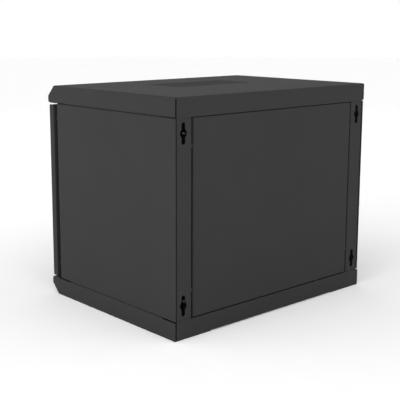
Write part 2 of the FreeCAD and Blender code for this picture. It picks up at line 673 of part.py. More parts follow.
def glazing():
    """Smoked tempered glass on a thin gasket, held by clips on studs welded to the door."""
    side, half = f"({WINDOW_SIDE} + glass_overlap)", f"({WINDOW_HALF} + glass_overlap)"
    gasket = piece("glass_gasket")
    outline = rectangle(f"-{side}", f"{MIDDLE} - {half}", side, f"{MIDDLE} + {half}")
    window = rectangle(f"-{WINDOW_SIDE}", f"{MIDDLE} - {WINDOW_HALF}", WINDOW_SIDE, f"{MIDDLE} + {WINDOW_HALF}")
    pad(gasket, "strip", "XZ", DOOR_SKIN, GLASS_FRONT, outline, window)
    glass = piece("door_glass")
    pad(glass, "pane", "XZ", GLASS_FRONT, GLASS_BACK, outline)

    first = f"{MIDDLE} - {WINDOW_HALF} + clip_end_inset"
    low, high = f"{first} - clip_width / 2", f"{first} + clip_width / 2"
    edge = f"{side} + seat_clearance"
    foot_end = f"{edge} + clip_foot"
    clips = piece("glass_clips")
    bent = pad(clips, "clip", "XY", low, high, polygon(
        (edge, DOOR_SKIN), (foot_end, DOOR_SKIN),
        (foot_end, f"{DOOR_SKIN} + clip_gauge"), (f"{edge} + clip_gauge", f"{DOOR_SKIN} + clip_gauge"),
        (f"{edge} + clip_gauge", f"{GLASS_BACK} + clip_gauge"), (f"{side} - clip_tongue", f"{GLASS_BACK} + clip_gauge"),
        (f"{side} - clip_tongue", GLASS_BACK), (edge, GLASS_BACK)))
    stud_x = f"{edge} + (clip_gauge + clip_foot) / 2"
    hole = pocket(clips, "stud_hole", "XZ", DOOR_SKIN, f"{DOOR_SKIN} + clip_gauge",
                  hidden_round(stud_x, first, "clip_stud + 2 * running_clearance"))
    rows = [("Z", CLIP_SPACING, "4")]
    repeat(clips, "clip_set", [bent, hole], rows, ["YZ"])
    nut_face = f"{DOOR_SKIN} + clip_gauge"
    nut_back = f"{nut_face} + clip_nut_thickness"
    studs = piece("clip_studs")
    stud = pad(studs, "stud", "XZ", DOOR_SKIN, f"{nut_back} + 1", hidden_round(stud_x, first, "clip_stud"))
    repeat(studs, "stud_set", [stud], rows, ["YZ"])
    nuts = piece("clip_nuts")
    nut = pad(nuts, "nut", "XZ", nut_face, nut_back, hexagon(stud_x, first, "clip_nut_flats"),
              hidden_round(stud_x, first, "clip_stud"))
    repeat(nuts, "nut_set", [nut], rows, ["YZ"])


def bumpers():
    """Rubber stops on the front post, where the door's free edge comes to rest."""
    body = piece("door_bumpers")
    stop = pad(body, "bumper", "XZ", f"{DOOR_BACK} + seat_clearance", FRONT_POST_FACE,
               octagon(f"{DOOR_EDGE} - bumper_inset", "bar_level", "bumper_diameter"))
    repeat(body, "bumper_pair", [stop], [("Z", BAR_SPACING, "2")])


# ---------------------------------------------------------------- hinge
def lower_hinge():
    """A headed pin riveted into the bottom cover, a nylon washer, and the door's flatted bush."""
    under = "flange_height - cover_gauge"
    top = f"{DOOR_LOW} + lower_pin_reach"
    pin = piece("lower_hinge_pin")
    pad(pin, "head", "XY", f"{under} - lower_pin_head_thickness", under,
        octagon(HINGE_X, HINGE_Y, "lower_pin_diameter + 2 * lower_pin_head"))
    pad(pin, "shank", "XY", under, top, disc(HINGE_X, HINGE_Y, "lower_pin_diameter"))
    washer = piece("hinge_washer")
    pad(washer, "ring", "XY", "flange_height", f"{DOOR_LOW} - seat_clearance",
        octagon(HINGE_X, HINGE_Y, "lower_pin_diameter + 2 * washer_width"),
        octagon(HINGE_X, HINGE_Y, "lower_pin_diameter + 2 * running_clearance"))
    bush = piece("hinge_bush")
    bore = disc(HINGE_X, HINGE_Y, "lower_pin_diameter + 2 * running_clearance")
    pad(bush, "barrel", "XY", DOOR_LOW, top,
        octagon(HINGE_X, HINGE_Y, "lower_pin_diameter + 2 * bush_wall"), bore)
    rim_low = f"{DOOR_LOW} + door_gauge"
    pad(bush, "rim", "XY", rim_low, f"{rim_low} + bush_rim_thickness",
        octagon(HINGE_X, HINGE_Y, "lower_pin_diameter + 2 * (bush_wall + bush_rim)"), bore)


def upper_hinge():
    """A sprung pin that drops out of the top cover when its handle is pulled down."""
    pin = piece("sprung_hinge_pin")
    pad(pin, "stem", "XY", PIN_BOTTOM, COLLAR_LOW, octagon(HINGE_X, HINGE_Y, "upper_pin_diameter"))
    pad(pin, "rod", "XY", COLLAR_LOW, PIN_TOP, disc(HINGE_X, HINGE_Y, "upper_pin_diameter"))
    pad(pin, "handle", "YZ", HINGE_X, f"{HINGE_X} + pin_handle_reach",
        octagon(HINGE_Y, f"{PIN_BOTTOM} + upper_pin_diameter / 2", "upper_pin_diameter"))
    pad(pin, "collar", "XY", COLLAR_LOW, f"{COLLAR_LOW} + pin_collar_thickness",
        octagon(HINGE_X, HINGE_Y, "pin_collar_diameter"))

    bracket = piece("hinge_pin_bracket")
    left = f"door_bend + seat_clearance - {DOOR_EDGE}"
    right = f"{left} + pin_bracket_width"
    pad(bracket, "foot", "XZ", DOOR_SKIN, f"{DOOR_SKIN} + door_gauge",
        rectangle(left, f"{BRACKET_TOP} - pin_bracket_width", right, BRACKET_TOP))
    pad(bracket, "shelf", "XY", f"{BRACKET_TOP} - door_gauge", BRACKET_TOP,
        rectangle(left, DOOR_SKIN, right, f"{HINGE_Y} + upper_pin_diameter"),
        octagon(HINGE_X, HINGE_Y, "upper_pin_diameter + 2 * running_clearance"))

    # The coil between the bracket and the collar, as the one soft sleeve that it fills.
    spring = piece("hinge_pin_spring")
    inside = "upper_pin_diameter + 2 * seat_clearance"
    pad(spring, "coil", "XY", BRACKET_TOP, COLLAR_LOW,
        octagon(HINGE_X, HINGE_Y, f"{inside} + 2 * spring_wire"), octagon(HINGE_X, HINGE_Y, inside))


# ---------------------------------------------------------------- lock
def lock():
    """A cam lock: flatted body and nut in the door, and a keyed plug that turns the cam."""
    bore = disc(LOCK_X, MIDDLE, "plug_diameter + 2 * running_clearance")
    body = piece("lock_body")
    pad(body, "head", "XZ", FRONT, DOOR_FRONT, regular(LOCK_X, MIDDLE, "lock_head_diameter", 16), bore)
    pad(body, "barrel", "XZ", DOOR_FRONT, f"{DOOR_FRONT} + lock_barrel_length",
        octagon(LOCK_X, MIDDLE, "lock_barrel_diameter"), bore)
    nut = piece("lock_nut")
    pad(nut, "hex", "XZ", DOOR_SKIN, f"{DOOR_SKIN} + lock_nut_thickness",
        hexagon(LOCK_X, MIDDLE, "lock_nut_flats"), octagon(LOCK_X, MIDDLE, "lock_barrel_diameter"))
    plug = piece("lock_plug")
    pad(plug, "barrel", "XZ", FRONT, CAM_FACE, disc(LOCK_X, MIDDLE, "plug_diameter"))
    pocket(plug, "key_slot", "XZ", FRONT, f"{FRONT} + key_slot_depth", rectangle(
        f"{LOCK_X} - key_slot_width / 2", f"{MIDDLE} - key_slot_height / 2",
        f"{LOCK_X} + key_slot_width / 2", f"{MIDDLE} + key_slot_height / 2"))
    cam = piece("lock_cam")
    pad(cam, "plate", "XZ", CAM_FACE, CAM_BACK, rectangle(
        f"{LOCK_X} - cam_width / 2", f"{MIDDLE} - cam_reach",
        f"{LOCK_X} + cam_width / 2", f"{MIDDLE} + cam_width / 2"))
    pocket(cam, "screw_hole", "XZ", CAM_FACE, CAM_BACK,
           hidden_round(LOCK_X, MIDDLE, "panel_screw + 2 * running_clearance"))
    screw = piece("cam_screw")
    pad(screw, "head", "XZ", CAM_BACK, f"{CAM_BACK} + panel_screw_head_thickness",
        octagon(LOCK_X, MIDDLE, "panel_screw_head"))
    pad(screw, "shank", "XZ", CAM_FACE, CAM_BACK, hidden_round(LOCK_X, MIDDLE, "panel_screw"))


def lock_keeper():
    """A bent plate welded to the front post, whose lip holds the turned cam and so the door."""
    body = piece("lock_keeper")
    inner = f"{LOCK_X} + cam_reach + cam_tip_gap"
    lip_back = f"{CAM_FACE} - cam_gap"
    lip_front = f"({lip_back} - keeper_gauge)"
    low, high = f"{MIDDLE} - keeper_height / 2", f"{MIDDLE} + keeper_height / 2"
    pad(body, "bent_plate", "XY", low, high, polygon(
        (f"{inner} - keeper_lip", lip_front), (f"{inner} + keeper_gauge", lip_front),
        (f"{inner} + keeper_gauge", f"{FRONT_POST_FACE} - keeper_gauge"),
        (f"{inner} + keeper_foot", f"{FRONT_POST_FACE} - keeper_gauge"),
        (f"{inner} + keeper_foot", FRONT_POST_FACE), (inner, FRONT_POST_FACE),
        (inner, lip_back), (f"{inner} - keeper_lip", lip_back)))


# ---------------------------------------------------------------- fasteners
def post_fixings():
    """Studs welded inside the covers, with a nut on each post tab."""
    front = f"{FRONT_POST_FACE} + stud_inset"
    span = f"({REAR_POST_FACE}) - ({FRONT_POST_FACE}) - 2 * stud_inset"
    studs = piece("post_studs")
    stud = pad(studs, "stud", "XY", "cover_gauge", "cover_gauge + stud_length",
               hidden_round(POST_MIDDLE, front, "frame_bolt"))
    repeat(studs, "stud_set", [stud],
           [("Y", span, "2"), ("Z", "cabinet_height - 2 * cover_gauge - stud_length", "2")], ["YZ"])
    nuts = piece("post_nuts")
    seat = "cover_gauge + post_gauge"
    nut = pad(nuts, "nut", "XY", seat, f"{seat} + frame_nut_thickness",
              hexagon(POST_MIDDLE, front, "frame_nut_flats"), hidden_round(POST_MIDDLE, front, "frame_bolt"))
    repeat(nuts, "nut_set", [nut],
           [("Y", span, "2"), ("Z", f"cabinet_height - 2 * ({seat}) - frame_nut_thickness", "2")], ["YZ"])


def bolt_set(name, clamped_from, clamped_to, first, span):
    """Four bolts and four nuts on each side, along X, clamping what lies between two levels."""
    rows = [("Y", span, "2"), ("Z", BAR_SPACING, "2")]
    nut_end = f"{clamped_to} + frame_nut_thickness"
    bolts = piece(f"{name}_bolts")
    head = pad(bolts, "head", "YZ", f"{clamped_from} - bolt_head_thickness", clamped_from,
               hexagon(first, "bar_level", "frame_nut_flats"))
    shank = pad(bolts, "shank", "YZ", clamped_from, f"{nut_end} + bolt_overrun",
                hidden_round(first, "bar_level", "frame_bolt"))
    repeat(bolts, "bolt_set", [head, shank], rows, ["YZ"])
    nuts = piece(f"{name}_nuts")
    nut = pad(nuts, "nut", "YZ", clamped_to, nut_end,
              hexagon(first, "bar_level", "frame_nut_flats"), hidden_round(first, "bar_level", "frame_bolt"))
    repeat(nuts, "nut_set", [nut], rows, ["YZ"])


def side_panel_screws():
    """Screws through the covers' side returns into the side panels' folded edges."""
    body = piece("side_panel_screws")
    bind(body, "Placement.Base.z", MIDDLE)
    seat = f"({COVER_EDGE} + cover_gauge - {MIDDLE})"
    head = pad(body, "head", "XY", seat, f"{seat} + panel_screw_head_thickness",
               octagon(PANEL_SCREW_X, f"-{SIDE_SCREW_PITCH}", "panel_screw_head"))
    shank = pad(body, "shank", "XY", f"{seat} - panel_screw_length", seat,
                hidden_round(PANEL_SCREW_X, f"-{SIDE_SCREW_PITCH}", "panel_screw"))
    repeat(body, "screw_rows", [head, shank], [("Y", SIDE_SCREW_PITCH, "3")], ["YZ", "XY"])


def rear_panel_fixings():
    """Rivet nuts whose collars space the rear panel from the posts, and the screws into them."""
    y, low = REAR_SCREW, "rear_screw_end_inset"
    rows = [("Z", REAR_SCREW_SPACING, "2")]
    seat = f"({POST_INNER} - rear_side_gap)"
    nuts = piece("rivet_nuts")
    bore = hidden_round(y, low, "panel_screw")
    collar = pad(nuts, "collar", "YZ", seat, POST_INNER, octagon(y, low, "rivet_nut_collar"), bore)
    shank = pad(nuts, "shank", "YZ", POST_INNER, f"{POST_INNER} + rivet_nut_length",
                hidden_round(y, low, "rivet_nut_shank"), bore)
    repeat(nuts, "rivet_nut_set", [collar, shank], rows, ["YZ"])
    screws = piece("rear_panel_screws")
    inside = f"({seat} - panel_gauge)"
    head = pad(screws, "head", "YZ", f"{inside} - panel_screw_head_thickness", inside,
               octagon(y, low, "panel_screw_head"))
    thread = pad(screws, "shank", "YZ", inside, f"{inside} + panel_screw_length", hidden_round(y, low, "panel_screw"))
    repeat(screws, "screw_set", [head, thread], rows, ["YZ"])


def earth_point():
    """The earthing stud welded to the floor, with its washer and nut."""
    x, y = f"earth_stud_inset - {SIDE}", f"{REAR} - earth_stud_inset"
    seat = "cover_gauge + earth_washer_thickness"
    stud = piece("earth_stud")
    pad(stud, "stud", "XY", "cover_gauge", "cover_gauge + earth_stud_length", hidden_round(x, y, "frame_bolt"))
    washer = piece("earth_washer")
    pad(washer, "ring", "XY", "cover_gauge", seat, octagon(x, y, "earth_washer_diameter"), hidden_round(x, y, "frame_bolt"))
    nut = piece("earth_nut")
    pad(nut, "nut", "XY", seat, f"{seat} + frame_nut_thickness",
        hexagon(x, y, "frame_nut_flats"), hidden_round(x, y, "frame_bolt"))


top_cover()
bottom_cover()
front_posts()
rear_posts()
side_panels()
rear_panel()
bars_and_rails()
door_frame()
glazing()
bumpers()
lower_hinge()
upper_hinge()
lock()
lock_keeper()
post_fixings()
bolt_set("bar", BAR_INNER, f"({POST_INNER} + post_gauge)", FRONT_BOLT, f"{REAR_BOLT} - {FRONT_BOLT}")
bolt_set("rail", RAIL_INNER, POST_INNER, f"({FRONT_RAIL} + rail_depth / 2)", "rail_spacing - rail_depth")
side_panel_screws()
rear_panel_fixings()
earth_point()

# ---------------------------------------------------------------- checks and export
doc.recompute()
for thing in doc.Objects:
    if "Invalid" in thing.State or "Error" in thing.State:
        raise RuntimeError(f"{thing.Label} failed: {thing.State}")
for body in pieces:
    if body.Shape.isNull() or not body.Shape.isValid() or not body.Shape.Solids:
        raise RuntimeError(f"{body.Label} has no valid shape")

os.makedirs("parts", exist_ok=True)
for body in pieces:
    body.Shape.exportStep(f"parts/{body.Label}.step")
    print(f"{body.Label}: {len(body.Shape.Solids)} solid(s), {body.Shape.Volume / 1000:.1f} cm3")
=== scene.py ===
import math

import bmesh
import bpy
from mathutils import Matrix, Vector


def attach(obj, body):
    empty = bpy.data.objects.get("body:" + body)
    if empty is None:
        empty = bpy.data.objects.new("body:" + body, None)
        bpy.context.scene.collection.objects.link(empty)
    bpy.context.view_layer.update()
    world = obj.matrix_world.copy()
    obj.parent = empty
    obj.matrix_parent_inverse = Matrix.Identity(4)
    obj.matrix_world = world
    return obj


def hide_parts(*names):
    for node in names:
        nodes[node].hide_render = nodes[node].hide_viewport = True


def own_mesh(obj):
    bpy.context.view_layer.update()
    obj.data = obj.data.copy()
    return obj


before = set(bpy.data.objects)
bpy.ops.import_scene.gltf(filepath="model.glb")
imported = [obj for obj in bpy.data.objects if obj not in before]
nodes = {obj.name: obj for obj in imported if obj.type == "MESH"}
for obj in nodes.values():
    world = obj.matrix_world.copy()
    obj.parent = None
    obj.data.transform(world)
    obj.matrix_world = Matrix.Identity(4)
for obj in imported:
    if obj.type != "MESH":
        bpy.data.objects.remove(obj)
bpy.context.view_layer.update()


# The studio: a white sweep under four soft lamps, and the camera behind and to the right of
# the cabinet.  The sky is an even fill light, a little stronger where it is seen or mirrored.
# The sweep glows a little in those rays alone, which whitens it with no more fill on the cabinet.
def linear(hex_colour):
    """An sRGB hex colour as linear red, green, blue and alpha."""
    channels = [int(hex_colour[start:start + 2], 16) / 255 for start in (1, 3, 5)]
    return [c / 12.92 if c <= 0.04045 else ((c + 0.055) / 1.055) ** 2.4 for c in channels] + [1]


def add_node(tree, kind, links=(), **settings):
    """Add a shader node, set its properties and inputs, and link outputs of others into it."""
    node = tree.nodes.new(kind)
    for name, setting in settings.items():
        if hasattr(node, name):
            setattr(node, name, setting)
        else:
            node.inputs[name.replace("_", " ")].default_value = setting
    for socket, output in dict(links).items():
        tree.links.new(output, node.inputs[socket])
    return node


scene = bpy.context.scene
scene.view_settings.view_transform = "Standard"

lens_data = bpy.data.cameras.new("product_camera")
lens_data.sensor_width = 36
lens_data.lens = 77.4
lens_data.shift_x = 0.047
lens_data.shift_y = -0.059
camera = bpy.data.objects.new("product_camera", lens_data)
camera.location = (1.3924, 1.4843, 0.6441)
camera.rotation_euler = (math.radians(79.82), 0, math.radians(138.63))
scene.collection.objects.link(camera)
scene.camera = camera

sky = bpy.data.worlds.new("studio_sky")
scene.world = sky
sky.use_nodes = True
sky.node_tree.nodes.clear()
ray = add_node(sky.node_tree, "ShaderNodeLightPath")
mirrored = add_node(sky.node_tree, "ShaderNodeMath", {0: ray.outputs["Is Camera Ray"],
                    1: ray.outputs["Is Glossy Ray"]}, operation="MAXIMUM")
seen = add_node(sky.node_tree, "ShaderNodeMath", {0: mirrored.outputs[0],
                1: ray.outputs["Is Transmission Ray"]}, operation="MAXIMUM")
fill = add_node(sky.node_tree, "ShaderNodeBackground", Color=linear("#ffffff"), Strength=0.93)
white = add_node(sky.node_tree, "ShaderNodeBackground", Color=linear("#ffffff"), Strength=1.0)
sky_mix = add_node(sky.node_tree, "ShaderNodeMixShader",
                   {0: seen.outputs[0], 1: fill.outputs[0], 2: white.outputs[0]})
add_node(sky.node_tree, "ShaderNodeOutputWorld", {"Surface": sky_mix.outputs[0]})

for name, place, turn, size, power in (
        ("key_lamp", (0.6, 2.6, 2.6), (-48, 0, 170), 2.0, 9),
        ("left_lamp", (3.2, 0.4, 1.4), (72, 0, 95), 1.6, 9),
        ("front_lamp", (-1.2, -2.4, 2.2), (50, 0, -28), 1.8, 9),
        ("low_lamp", (1.7, -1.2, 0.3), (84, 0, 54), 0.6, 5)):
    lamp_data = bpy.data.lights.new(name, "AREA")
    lamp_data.size = size
    lamp_data.energy = power
    lamp = bpy.data.objects.new(name, lamp_data)
    lamp.location = place
    lamp.rotation_euler = [math.radians(angle) for angle in turn]
    scene.collection.objects.link(lamp)

bm = bmesh.new()
bmesh.ops.create_circle(bm, cap_ends=True, segments=96, radius=14)
floor_mesh = bpy.data.meshes.new("studio_floor")
bm.to_mesh(floor_mesh)
bm.free()
floor = bpy.data.objects.new("studio_floor", floor_mesh)
scene.collection.objects.link(floor)

sweep = bpy.data.materials.new("white_paper_sweep")
sweep.use_nodes = True
sweep.node_tree.nodes.clear()
paper_grain = add_node(sweep.node_tree, "ShaderNodeTexNoise", Scale=400, Detail=3)
paper_tint = add_node(sweep.node_tree, "ShaderNodeMix", {"Factor": paper_grain.outputs["Fac"]},
                      data_type="RGBA")
paper_tint.inputs["A"].default_value = linear("#f9f9f9")
paper_tint.inputs["B"].default_value = linear("#fdfdfd")
paper = add_node(sweep.node_tree, "ShaderNodeBsdfDiffuse", {"Color": paper_tint.outputs["Result"]},
                 Roughness=0.9)
ray = add_node(sweep.node_tree, "ShaderNodeLightPath")
mirrored = add_node(sweep.node_tree, "ShaderNodeMath", {0: ray.outputs["Is Camera Ray"],
                    1: ray.outputs["Is Glossy Ray"]}, operation="MAXIMUM")
seen = add_node(sweep.node_tree, "ShaderNodeMath", {0: mirrored.outputs[0],
                1: ray.outputs["Is Transmission Ray"]}, operation="MAXIMUM")
lift = add_node(sweep.node_tree, "ShaderNodeMath", {0: seen.outputs[0]}, operation="MULTIPLY")
lift.inputs[1].default_value = 0.075
glow = add_node(sweep.node_tree, "ShaderNodeEmission", {"Strength": lift.outputs[0]}, Color=linear("#ffffff"))
both = add_node(sweep.node_tree, "ShaderNodeAddShader", {0: paper.outputs[0], 1: glow.outputs[0]})
add_node(sweep.node_tree, "ShaderNodeOutputMaterial", {"Surface": both.outputs[0]})
floor_mesh.materials.append(sweep)


# The top and bottom covers: 1.5 mm steel sheet, bevelled at the door, folded down all round
# with rolled edges, and powder coated.  Both are one pressing; the top one is punched with a
# field of small hexagonal vents.
def finish_material(name, colour, **shader_settings):
    """A named material holding one main shader, its tree, and the piece's own coordinates."""
    material = bpy.data.materials.new(name)
    material.use_nodes = True
    tree = material.node_tree
    tree.nodes.clear()
    place = add_node(tree, "ShaderNodeTexCoord")
    shader = add_node(tree, "ShaderNodeBsdfPrincipled", Base_Color=linear(colour), **shader_settings)
    add_node(tree, "ShaderNodeOutputMaterial", {"Surface": shader.outputs[0]})
    return material, tree, place.outputs["Object"], shader


def varied_colour(tree, place, shader, dark, light, size_mm, detail=4):
    """Let the base colour drift between two hex colours over patches of a size."""
    patches = add_node(tree, "ShaderNodeTexNoise", {"Vector": place}, Scale=1000 / size_mm, Detail=detail)
    drift = add_node(tree, "ShaderNodeMix", {"Factor": patches.outputs["Fac"]}, data_type="RGBA")
    drift.inputs["A"].default_value = linear(dark)
    drift.inputs["B"].default_value = linear(light)
    tree.links.new(drift.outputs["Result"], shader.inputs["Base Color"])


def varied_roughness(tree, place, shader, smooth, rough, size_mm):
    patches = add_node(tree, "ShaderNodeTexNoise", {"Vector": place}, Scale=1000 / size_mm, Detail=3)
    drift = add_node(tree, "ShaderNodeMapRange", {"Value": patches.outputs["Fac"]},
                     To_Min=smooth, To_Max=rough)
    tree.links.new(drift.outputs[0], shader.inputs["Roughness"])


def grain_bump(tree, place, shader, size_mm, height_mm):
    """A fine random relief, such as the orange peel of a powder coat."""
    grain = add_node(tree, "ShaderNodeTexNoise", {"Vector": place}, Scale=1000 / size_mm, Detail=2)
    relief = add_node(tree, "ShaderNodeBump", {"Height": grain.outputs["Fac"]}, Strength=1.0,
                      Distance=height_mm / 1000)
    tree.links.new(relief.outputs[0], shader.inputs["Normal"])


def powder_coat(name, dark, light):
    """Matte black polyester powder: an even grey-black, dull even at a low angle, with a fine grain."""
    material, tree, place, shader = finish_material(name, light, IOR=1.5, Roughness=0.85,
                                                    Specular_IOR_Level=0.06)
    varied_colour(tree, place, shader, dark, light, 90)
    varied_roughness(tree, place, shader, 0.8, 0.9, 60)
    grain_bump(tree, place, shader, 1.6, 0.02)
    return material


def finish(node_names, material):
    """Give CAD nodes their finish in place of the plain one they were packed with."""
    for node_name in node_names:
        mesh = nodes[node_name].data
        mesh.materials.clear()
        mesh.materials.append(material)


mm = 0.001


def merged_copy(node_name):
    """A CAD node's mesh as a bmesh of its own, with its loose triangles joined up."""
    shape = bmesh.new()
    shape.from_mesh(nodes[node_name].data)
    bmesh.ops.remove_doubles(shape, verts=shape.verts, dist=1e-6)
    return shape


def add_piece(name, shape, material, body, slot, *stands_for):
    """Turn a finished bmesh into a piece that rides on a body and stands for its CAD nodes."""
    bmesh.ops.remove_doubles(shape, verts=shape.verts, dist=1e-6)
    bmesh.ops.recalc_face_normals(shape, faces=shape.faces)
    mesh = bpy.data.meshes.new(name)
    shape.to_mesh(mesh)
    shape.free()
    mesh.shade_smooth()
    mesh.set_sharp_from_angle(angle=math.radians(32))
    mesh.materials.append(material)
    made = bpy.data.objects.new(name, mesh)
    scene.collection.objects.link(made)
    flats_first = made.modifiers.new("flat_faces_stay_flat", "WEIGHTED_NORMAL")
    flats_first.keep_sharp = True
    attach(made, body)
    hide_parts(*stands_for)
    return made


def join_in(shape, other):
    """Add another bmesh's geometry to a shape; the other one is used up."""
    carrier = bpy.data.meshes.new("carrier")
    other.to_mesh(carrier)
    other.free()
    shape.from_mesh(carrier)
    bpy.data.meshes.remove(carrier)


def points_of(geometry):
    return [part for part in geometry if isinstance(part, bmesh.types.BMVert)]


def edges_of(geometry):
    return [part for part in geometry if isinstance(part, bmesh.types.BMEdge)]


def copies(shape, frames):
    """One bmesh that holds the shape once at each frame; the shape itself is used up."""
    template = bpy.data.meshes.new("template")
    shape.to_mesh(template)
    shape.free()
    joined = bmesh.new()
    for frame_matrix in frames:
        count = len(joined.verts)
        joined.from_mesh(template)
        bmesh.ops.transform(joined, matrix=frame_matrix, verts=joined.verts[count:])
    bpy.data.meshes.remove(template)
    return joined


cover_paint = powder_coat("powder_coat_covers", "#3b3b3b", "#3f3f3f")
finish(["bottom_cover"], cover_paint)

# The sheet round the vents is taken out of a copy of the cover and laid again with them in it.
sheet_top, sheet_gauge = 500 * mm, 1.5 * mm
vent_pitch, vent_across = 7.6 * mm, 5.0 * mm
vent_row = vent_pitch * math.cos(math.pi / 6)
vent_columns, vent_rows = 32, 17
vents_middle = Vector((0, -30 * mm, 0))

vented = merged_copy("top_cover")
levels = (sheet_top, sheet_top - sheet_gauge)
lid = [face for face in vented.faces
       if (abs(face.normal.z) > 0.999 or abs(face.normal.z) < 0.01)
       and all(min(abs(v.co.z - level) for level in levels) < 1e-5 for v in face.verts)]
bmesh.ops.delete(vented, geom=lid, context="FACES")

# One vent: a hexagonal hole in a brick of sheet whose outline has six points, so that the
# bricks of one row meet those of the next at their corners and middles.
cell = bmesh.new()
hole = bmesh.ops.create_circle(cell, segments=6, radius=vent_across / 2 / math.cos(math.pi / 6))["verts"]
brick = bmesh.ops.create_circle(cell, segments=6, radius=vent_pitch / 2 / math.cos(math.pi / 6))["verts"]
for corner in brick:
    corner.co.y = math.copysign(vent_row / 2, corner.co.y)
bmesh.ops.bridge_loops(cell, edges=cell.edges[:])
walls = bmesh.ops.extrude_edge_only(cell, edges=[edge for edge in cell.edges
                                                 if all(v in hole for v in edge.verts)])["geom"]
bmesh.ops.translate(cell, vec=(0, 0, -sheet_gauge), verts=points_of(walls))
underside = bmesh.ops.duplicate(cell, geom=[face for face in cell.faces if abs(face.normal.z) > 0.5])["geom"]
bmesh.ops.translate(cell, vec=(0, 0, -sheet_gauge), verts=points_of(underside))

whole, half = [], []
for row in range(vent_rows):
    shift = row % 2
    y = (row - (vent_rows - 1) / 2) * vent_row
    for column in range(vent_columns - shift):
        x = (column - (vent_columns - 1 - shift) / 2) * vent_pitch
        whole.append(Matrix.Translation(vents_middle + Vector((x, y, sheet_top))))
    if shift:
        for side in (-1, 1):
            x = side * (vent_columns / 2 - 0.25) * vent_pitch
            half.append(Matrix.Translation(vents_middle + Vector((x, y, sheet_top))))
vent_field = copies(cell, whole)

filler = bmesh.new()
bmesh.ops.create_grid(filler, x_segments=1, y_segments=1, size=0.5)
bmesh.ops.scale(filler, vec=(vent_pitch / 2, vent_row, 1), verts=filler.verts)
under = bmesh.ops.duplicate(filler, geom=filler.faces[:])["geom"]
bmesh.ops.translate(filler, vec=(0, 0, -sheet_gauge), verts=points_of(under))
row_ends = copies(filler, half)

join_in(vented, vent_field)
join_in(vented, row_ends)
bmesh.ops.remove_doubles(vented, verts=vented.verts, dist=2e-6)
for level in levels:
    border = [edge for edge in vented.edges if edge.is_boundary
              and all(abs(v.co.z - level) < 1e-5 for v in edge.verts)]
    bmesh.ops.triangle_fill(vented, edges=border, use_beauty=True, normal=(0, 0, 1))
add_piece("vented_top_cover", vented, cover_paint, "cabinet", "cover_paint", "top_cover")


# The posts, side panels, rear panel and depth bars: folded steel sheet in the same matte
# powder, which also covers the collars that space the rear panel from its posts.
panel_paint = powder_coat("powder_coat_panels", "#3b3b3b", "#3f3f3f")
finish(["front_post_right", "front_post_left", "rear_post_right", "rear_post_left",
        "side_panel_right", "side_panel_left", "rear_panel", "lock_keeper",
        "depth_bar_lower_right", "depth_bar_lower_left",
        "depth_bar_upper_right", "depth_bar_upper_left"], panel_paint)


# The four rack rails: 2 mm steel angles punched with square holes, bright zinc plated.
def zinc_plate(name, dark, light):
    """Bright zinc plating: a pale blue-grey metal with a faint cloudy crystal pattern."""
    material, tree, place, shader = finish_material(name, light, Metallic=1.0, Roughness=0.34)
    varied_colour(tree, place, shader, dark, light, 6)
    varied_roughness(tree, place, shader, 0.28, 0.42, 14)
    grain_bump(tree, place, shader, 0.8, 0.004)
    return material


rail_zinc = zinc_plate("zinc_plated_rails", "#b4b9be", "#c6cacd")
finish(["front_rail_right", "front_rail_left", "rear_rail_right", "rear_rail_left"], rail_zinc)


# The frame's fixings: M6 studs welded inside the covers, and M6 bolts through posts, bars
# and rails, each with a hexagon nut.  All are turned or cold formed and zinc plated.
fixing_zinc = zinc_plate("zinc_plated_fixings", "#b0b4b8", "#cdd0d2")


def turned(section, segments=24, ring=False):
    """Spin a half section, (radius, height) pairs in millimetres, round the Z axis."""
    shape = bmesh.new()
    points = [shape.verts.new((radius * mm, 0, height * mm)) for radius, height in section]
    pairs = list(zip(points, points[1:])) + ([(points[-1], points[0])] if ring else [])
    outline = [shape.edges.new(pair) for pair in pairs]
    bmesh.ops.spin(shape, geom=points + outline, cent=(0, 0, 0), axis=(0, 0, 1), angle=math.tau,
                   steps=segments, use_merge=True)
    bmesh.ops.remove_doubles(shape, verts=shape.verts, dist=1e-6)
    return shape


def six_flats(shape, across):
    """Mill a turned blank down to a hexagon, which leaves the arcs of its chamfer on each flat."""
    for side in range(6):
        outward = Vector((math.cos(side * math.pi / 3), math.sin(side * math.pi / 3), 0))
        cut = bmesh.ops.bisect_plane(shape, geom=shape.verts[:] + shape.edges[:] + shape.faces[:], dist=1e-7,
                                     plane_co=outward * across / 2 * mm, plane_no=outward, clear_outer=True)
        bmesh.ops.contextual_create(shape, geom=edges_of(cut["geom_cut"]))
    return shape


def thread(diameter, start, end, pitch):
    """The outer side of a threaded shank's half section, down to its chamfered tip."""
    root, crest = diameter / 2 - 0.55 * pitch, diameter / 2
    turns = int((end - start) / pitch) - 1
    section = []
    for turn in range(turns):
        section += [(crest, start + (turn + 0.4) * pitch), (root, start + (turn + 0.9) * pitch)]
    return [(root, start)] + section + [(root, end)]


def hexagon_nut(across, thickness, diameter):
    corner, face = across / 2 / math.cos(math.pi / 6), across * 0.475
    drop = (corner - face) * math.tan(math.pi / 6)
    return six_flats(turned([(diameter / 2, 0), (face, 0), (corner, drop), (corner, thickness - drop),
                             (face, thickness), (diameter / 2, thickness)], ring=True), across)


def hexagon_bolt(across, head, diameter, length, pitch):
    corner, face = across / 2 / math.cos(math.pi / 6), across * 0.475
    drop = (corner - face) * math.tan(math.pi / 6)
    return six_flats(turned([(0, -head), (face, -head), (corner, drop - head), (corner, 0)]
                            + thread(diameter, 0, length, pitch) + [(0, length)]), across)


def stud(diameter, length, pitch):
    return turned([(0, 0)] + thread(diameter, 0, length, pitch) + [(0, length)], 16)


